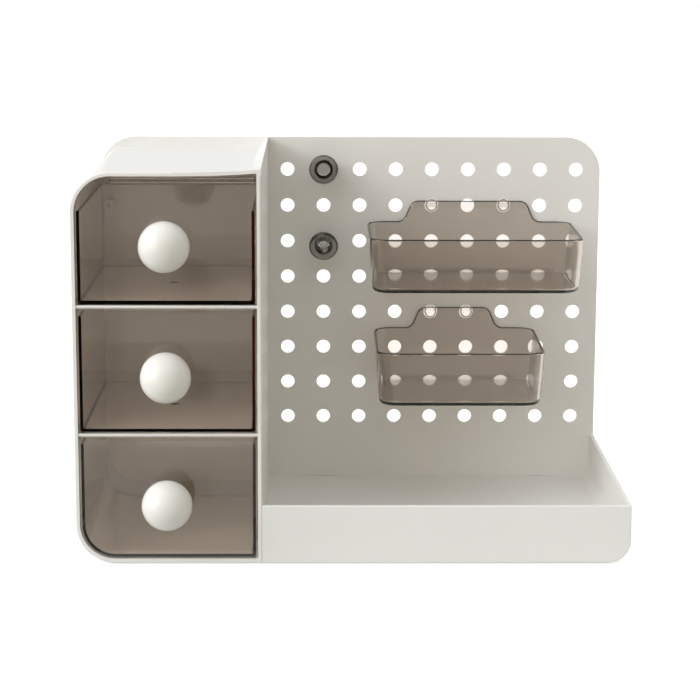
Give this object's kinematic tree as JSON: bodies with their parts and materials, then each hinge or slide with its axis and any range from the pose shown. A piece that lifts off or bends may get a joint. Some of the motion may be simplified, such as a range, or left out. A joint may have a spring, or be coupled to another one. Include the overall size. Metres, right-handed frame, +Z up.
{
  "type": "pegboard desk organizer with drawers",
  "caption": "White desk organizer: drawer cabinet with smoky clear drawers and ball knobs, low tray, and a pegboard that carries clear hanging baskets and round pegs.",
  "frame": {"origin": "bottom centre of the object's box, knobs and basket hooks included, on the plane of the feet", "axes": "+Z up, -Y towards the user (drawers open that way), +X to the user's right; the cabinet is on the -X side"},
  "size_m": [0.3454, 0.2297, 0.2484],
  "materials": {
    "white_body": "satin white ABS",
    "white_knob": "satin white ABS",
    "smoky_drawer": "polished smoky clear polystyrene",
    "smoky_basket": "polished smoky clear polystyrene",
    "clear_peg": "polished smoky clear polystyrene",
    "zinc_steel": "zinc-plated",
    "foot_rubber": "matt"
  },
  "bodies": {
    "frame": {"cabinet_shell": "white_body", "shelf_lower": "white_body", "shelf_upper": "white_body", "tray_base": "white_body", "rear_panel": "white_body", "rear_panel_screws": "zinc_steel", "foot_left_front": "foot_rubber", "foot_left_rear": "foot_rubber", "foot_right_front": "foot_rubber", "foot_right_rear": "foot_rubber"},
    "bottom_drawer": {"drawer_bottom": "smoky_drawer", "knob_bottom": "white_knob", "knob_washer_bottom": "zinc_steel", "knob_screw_bottom": "zinc_steel"},
    "middle_drawer": {"drawer_middle": "smoky_drawer", "knob_middle": "white_knob", "knob_washer_middle": "zinc_steel", "knob_screw_middle": "zinc_steel"},
    "top_drawer": {"drawer_top": "smoky_drawer", "knob_top": "white_knob", "knob_washer_top": "zinc_steel", "knob_screw_top": "zinc_steel"},
    "wide_basket": {"basket_wide": "smoky_basket"},
    "narrow_basket": {"basket_narrow": "smoky_basket"},
    "upper_peg": {"peg_upper": "clear_peg"},
    "lower_peg": {"peg_lower": "clear_peg"}
  },
  "joints": [
    {"name": "bottom_drawer_slide", "type": "slide", "parent": "frame", "child": "bottom_drawer", "axis": [0, -1, 0], "range_m": [0, 0.14]},
    {"name": "middle_drawer_slide", "type": "slide", "parent": "frame", "child": "middle_drawer", "axis": [0, -1, 0], "range_m": [0, 0.14]},
    {"name": "top_drawer_slide", "type": "slide", "parent": "frame", "child": "top_drawer", "axis": [0, -1, 0], "range_m": [0, 0.14]},
    {"name": "wide_basket_lift_off", "type": "slide", "parent": "frame", "child": "wide_basket", "axis": [0, -0.9781, 0.2079], "range_m": [0, 0.21]},
    {"name": "narrow_basket_lift_off", "type": "slide", "parent": "frame", "child": "narrow_basket", "axis": [0, -0.9781, 0.2079], "range_m": [0, 0.21]},
    {"name": "upper_peg_pull_out", "type": "slide", "parent": "frame", "child": "upper_peg", "axis": [0, -1, 0], "range_m": [0, 0.04]},
    {"name": "lower_peg_pull_out", "type": "slide", "parent": "frame", "child": "lower_peg", "axis": [0, -1, 0], "range_m": [0, 0.04]}
  ]
}
